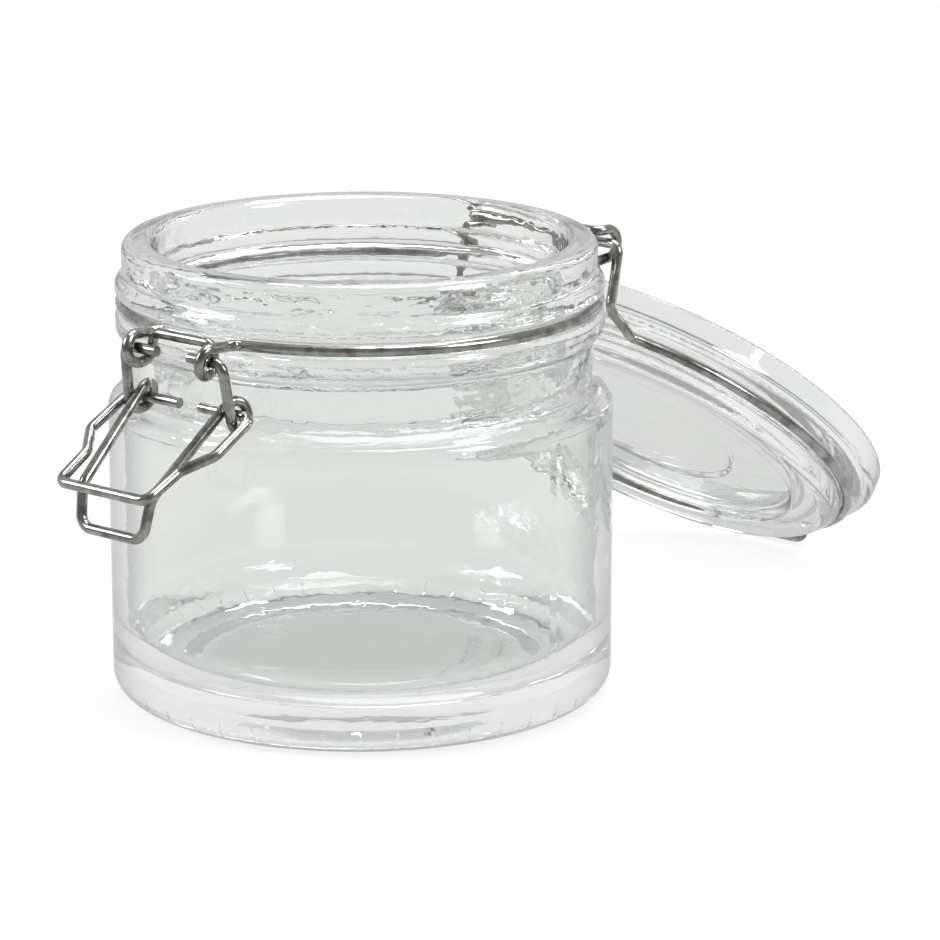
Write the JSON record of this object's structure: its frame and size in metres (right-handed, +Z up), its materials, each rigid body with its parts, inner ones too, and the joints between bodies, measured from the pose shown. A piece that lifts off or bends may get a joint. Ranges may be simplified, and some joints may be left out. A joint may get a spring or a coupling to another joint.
{
  "type": "clip-top jar",
  "caption": "Round clip-top glass storage jar with a hinged domed glass lid, standing open, and a bent-wire over-centre clasp of lever and closing loop.",
  "frame": {"origin": "centre of the jar's round foot, on the surface the jar stands on", "axes": "+Z up along the jar's axis, -Y towards the clasp, +Y towards the hinge and the open lid, +X to the right of someone facing the clasp"},
  "size_m": [0.105, 0.2255, 0.096],
  "materials": {
    "clear_glass": "clear, smooth pressed glass",
    "wire": "bright drawn stainless wire"
  },
  "bodies": {
    "jar": {"jar_glass": "clear_glass", "neck_wire": "wire"},
    "lid": {"lid_glass": "clear_glass", "lid_wire": "wire"},
    "lever": {"lever_wire": "wire"},
    "loop": {"closing_loop": "wire"}
  },
  "joints": [
    {"name": "lid_hinge", "type": "hinge", "parent": "jar", "child": "lid", "pos_m": [0, 0.061, 0.087], "axis": [1, 0, 0], "range_deg": [0, 220.07]},
    {"name": "lever_pivot", "type": "hinge", "parent": "jar", "child": "lever", "pos_m": [0, -0.056, 0.0808], "axis": [-1, 0, 0], "range_deg": [0, 100]},
    {"name": "loop_pivot", "type": "hinge", "parent": "lever", "child": "loop", "pos_m": [0, -0.05134, 0.0696], "axis": [-1, 0, 0], "range_deg": [0, 45]}
  ]
}
